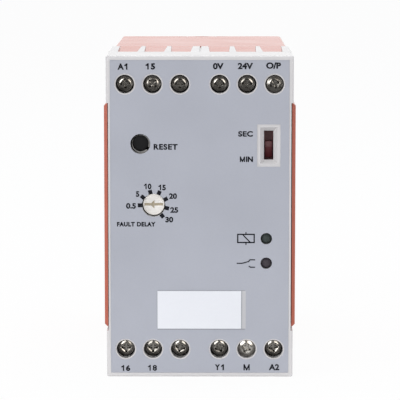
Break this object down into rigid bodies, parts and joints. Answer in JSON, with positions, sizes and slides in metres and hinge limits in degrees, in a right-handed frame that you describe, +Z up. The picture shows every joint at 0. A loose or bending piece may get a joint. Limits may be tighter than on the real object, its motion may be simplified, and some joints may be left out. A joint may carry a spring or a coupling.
{
  "type": "monitoring relay",
  "caption": "Rail-mounted monitoring relay with a red case, grey front label, screw terminals along top and bottom, delay dial, range switch, reset button and indicator lamps.",
  "frame": {"origin": "centre of the mounting rail on the rear face of the case", "axes": "+X to the right along the rail, +Y from the front face to the rear, +Z up"},
  "size_m": [0.0536, 0.1103, 0.09],
  "materials": {
    "case_red": "fine moulded grain",
    "cover_grey": "fine moulded grain",
    "label_film": "satin printed film",
    "panel_white": "satin write-on film",
    "screw_nickel": "bright nickel plate",
    "clamp_brass": "nickel-washed brass",
    "clamp_steel": "zinc-plated steel",
    "button_black": "smooth moulding",
    "knob_white": "smooth moulding",
    "slider_red": "ridged moulding",
    "switch_black": "moulded housing",
    "lamp_green": "tinted clear resin",
    "lamp_red": "tinted clear resin",
    "spacer_white": "moulded tube",
    "board_green": "solder-mask laminate",
    "link_black": "moulded pin strip",
    "core_steel": "varnished laminations",
    "bobbin_nylon": "moulded nylon",
    "winding_tape": "polyester tape",
    "relay_blue": "moulded can",
    "capacitor_sleeve": "shrink sleeve",
    "absorber_blue": "dipped epoxy",
    "chip_black": "moulded package",
    "diode_black": "moulded package",
    "resistor_tan": "lacquered ceramic",
    "clip_red": "moulded nylon",
    "switch_maroon": "moulded phenolic housing"
  },
  "bodies": {
    "housing": {"case_body": "case_red", "front_cover": "cover_grey", "front_label": "label_film", "marker_panel": "panel_white", "terminal_block_top_left": "cover_grey", "terminal_block_top_right": "cover_grey", "terminal_block_bottom_left": "cover_grey", "terminal_block_bottom_right": "cover_grey", "terminal_cages": "clamp_brass", "reset_switch": "switch_black", "delay_pot": "spacer_white", "range_switch": "switch_maroon", "power_led": "lamp_green", "relay_led": "lamp_red", "lamp_spacers": "spacer_white", "control_board": "board_green", "main_board": "board_green", "board_link": "link_black", "transformer_core": "core_steel", "transformer_bobbin": "bobbin_nylon", "primary_winding": "winding_tape", "secondary_winding": "winding_tape", "output_relay": "relay_blue", "smoothing_capacitor": "capacitor_sleeve", "surge_absorber": "absorber_blue", "timer_chips": "chip_black", "rectifier_diodes": "diode_black", "resistors": "resistor_tan"},
    "plate_01": {"clamp_plate_01": "clamp_steel"},
    "screw_01": {"terminal_screw_01": "screw_nickel"},
    "plate_02": {"clamp_plate_02": "clamp_steel"},
    "screw_02": {"terminal_screw_02": "screw_nickel"},
    "plate_03": {"clamp_plate_03": "clamp_steel"},
    "screw_03": {"terminal_screw_03": "screw_nickel"},
    "plate_04": {"clamp_plate_04": "clamp_steel"},
    "screw_04": {"terminal_screw_04": "screw_nickel"},
    "plate_05": {"clamp_plate_05": "clamp_steel"},
    "screw_05": {"terminal_screw_05": "screw_nickel"},
    "plate_06": {"clamp_plate_06": "clamp_steel"},
    "screw_06": {"terminal_screw_06": "screw_nickel"},
    "plate_07": {"clamp_plate_07": "clamp_steel"},
    "screw_07": {"terminal_screw_07": "screw_nickel"},
    "plate_08": {"clamp_plate_08": "clamp_steel"},
    "screw_08": {"terminal_screw_08": "screw_nickel"},
    "plate_09": {"clamp_plate_09": "clamp_steel"},
    "screw_09": {"terminal_screw_09": "screw_nickel"},
    "plate_10": {"clamp_plate_10": "clamp_steel"},
    "screw_10": {"terminal_screw_10": "screw_nickel"},
    "plate_11": {"clamp_plate_11": "clamp_steel"},
    "screw_11": {"terminal_screw_11": "screw_nickel"},
    "plate_12": {"clamp_plate_12": "clamp_steel"},
    "screw_12": {"terminal_screw_12": "screw_nickel"},
    "button": {"reset_button": "button_black"},
    "knob": {"delay_knob": "knob_white"},
    "slider": {"range_slider": "slider_red"},
    "upper_clip": {"rail_clip_upper": "clip_red"},
    "lower_clip": {"rail_clip_lower": "clip_red"}
  },
  "joints": [
    {"name": "plate_01_slide", "type": "slide", "parent": "housing", "child": "plate_01", "axis": [0, 1, 0], "range_m": [-0.0034, 0]},
    {"name": "screw_01_turn", "type": "hinge", "parent": "plate_01", "child": "screw_01", "pos_m": [-0.0207, -0.1, 0.03715], "axis": [0, 1, 0], "range_deg": [-2448.1, 0.1]},
    {"name": "plate_02_slide", "type": "slide", "parent": "housing", "child": "plate_02", "axis": [0, 1, 0], "range_m": [-0.0034, 0]},
    {"name": "screw_02_turn", "type": "hinge", "parent": "plate_02", "child": "screw_02", "pos_m": [-0.0131, -0.1, 0.03715], "axis": [0, 1, 0], "range_deg": [-2448.1, 0.1]},
    {"name": "plate_03_slide", "type": "slide", "parent": "housing", "child": "plate_03", "axis": [0, 1, 0], "range_m": [-0.0034, 0]},
    {"name": "screw_03_turn", "type": "hinge", "parent": "plate_03", "child": "screw_03", "pos_m": [-0.0055, -0.1, 0.03715], "axis": [0, 1, 0], "range_deg": [-2448.1, 0.1]},
    {"name": "plate_04_slide", "type": "slide", "parent": "housing", "child": "plate_04", "axis": [0, 1, 0], "range_m": [-0.0034, 0]},
    {"name": "screw_04_turn", "type": "hinge", "parent": "plate_04", "child": "screw_04", "pos_m": [0.0055, -0.1, 0.03715], "axis": [0, 1, 0], "range_deg": [-2448.1, 0.1]},
    {"name": "plate_05_slide", "type": "slide", "parent": "housing", "child": "plate_05", "axis": [0, 1, 0], "range_m": [-0.0034, 0]},
    {"name": "screw_05_turn", "type": "hinge", "parent": "plate_05", "child": "screw_05", "pos_m": [0.0131, -0.1, 0.03715], "axis": [0, 1, 0], "range_deg": [-2448.1, 0.1]},
    {"name": "plate_06_slide", "type": "slide", "parent": "housing", "child": "plate_06", "axis": [0, 1, 0], "range_m": [-0.0021, 0.0013]},
    {"name": "screw_06_turn", "type": "hinge", "parent": "plate_06", "child": "screw_06", "pos_m": [0.0207, -0.1, 0.03715], "axis": [0, 1, 0], "range_deg": [-1512.1, 936.1]},
    {"name": "plate_07_slide", "type": "slide", "parent": "housing", "child": "plate_07", "axis": [0, 1, 0], "range_m": [-0.0034, 0]},
    {"name": "screw_07_turn", "type": "hinge", "parent": "plate_07", "child": "screw_07", "pos_m": [-0.0207, -0.1, -0.03715], "axis": [0, 1, 0], "range_deg": [-2448.1, 0.1]},
    {"name": "plate_08_slide", "type": "slide", "parent": "housing", "child": "plate_08", "axis": [0, 1, 0], "range_m": [-0.0034, 0]},
    {"name": "screw_08_turn", "type": "hinge", "parent": "plate_08", "child": "screw_08", "pos_m": [-0.0131, -0.1, -0.03715], "axis": [0, 1, 0], "range_deg": [-2448.1, 0.1]},
    {"name": "plate_09_slide", "type": "slide", "parent": "housing", "child": "plate_09", "axis": [0, 1, 0], "range_m": [-0.0034, 0]},
    {"name": "screw_09_turn", "type": "hinge", "parent": "plate_09", "child": "screw_09", "pos_m": [-0.0055, -0.1, -0.03715], "axis": [0, 1, 0], "range_deg": [-2448.1, 0.1]},
    {"name": "plate_10_slide", "type": "slide", "parent": "housing", "child": "plate_10", "axis": [0, 1, 0], "range_m": [-0.0034, 0]},
    {"name": "screw_10_turn", "type": "hinge", "parent": "plate_10", "child": "screw_10", "pos_m": [0.0055, -0.1, -0.03715], "axis": [0, 1, 0], "range_deg": [-2448.1, 0.1]},
    {"name": "plate_11_slide", "type": "slide", "parent": "housing", "child": "plate_11", "axis": [0, 1, 0], "range_m": [-0.0025, 0.0009]},
    {"name": "screw_11_turn", "type": "hinge", "parent": "plate_11", "child": "screw_11", "pos_m": [0.0131, -0.1, -0.03715], "axis": [0, 1, 0], "range_deg": [-1800.1, 648.1]},
    {"name": "plate_12_slide", "type": "slide", "parent": "housing", "child": "plate_12", "axis": [0, 1, 0], "range_m": [-0.0034, 0]},
    {"name": "screw_12_turn", "type": "hinge", "parent": "plate_12", "child": "screw_12", "pos_m": [0.0207, -0.1, -0.03715], "axis": [0, 1, 0], "range_deg": [-2448.1, 0.1]},
    {"name": "reset_press", "type": "slide", "parent": "housing", "child": "button", "axis": [0, 1, 0], "range_m": [0, 0.0005], "stiffness_N_per_m": 2000, "springref_m": -0.0005},
    {"name": "delay_turn", "type": "hinge", "parent": "housing", "child": "knob", "pos_m": [-0.01282, -0.105, 0.00343], "axis": [0, 1, 0], "range_deg": [0, 231]},
    {"name": "range_slide", "type": "slide", "parent": "housing", "child": "slider", "axis": [0, 0, 1], "range_m": [0, 0.0029]},
    {"name": "upper_clip_slide", "type": "slide", "parent": "housing", "child": "upper_clip", "axis": [0, 0, 1], "range_m": [0, 0.009]},
    {"name": "lower_clip_slide", "type": "slide", "parent": "housing", "child": "lower_clip", "axis": [0, 0, -1], "range_m": [0, 0.009]}
  ],
  "couplings": [
    {"joint": "screw_01_turn", "follows": "plate_01_slide", "rad_per_m": 12566},
    {"joint": "screw_02_turn", "follows": "plate_02_slide", "rad_per_m": 12566},
    {"joint": "screw_03_turn", "follows": "plate_03_slide", "rad_per_m": 12566},
    {"joint": "screw_04_turn", "follows": "plate_04_slide", "rad_per_m": 12566},
    {"joint": "screw_05_turn", "follows": "plate_05_slide", "rad_per_m": 12566},
    {"joint": "screw_06_turn", "follows": "plate_06_slide", "rad_per_m": 12566},
    {"joint": "screw_07_turn", "follows": "plate_07_slide", "rad_per_m": 12566},
    {"joint": "screw_08_turn", "follows": "plate_08_slide", "rad_per_m": 12566},
    {"joint": "screw_09_turn", "follows": "plate_09_slide", "rad_per_m": 12566},
    {"joint": "screw_10_turn", "follows": "plate_10_slide", "rad_per_m": 12566},
    {"joint": "screw_11_turn", "follows": "plate_11_slide", "rad_per_m": 12566},
    {"joint": "screw_12_turn", "follows": "plate_12_slide", "rad_per_m": 12566}
  ]
}
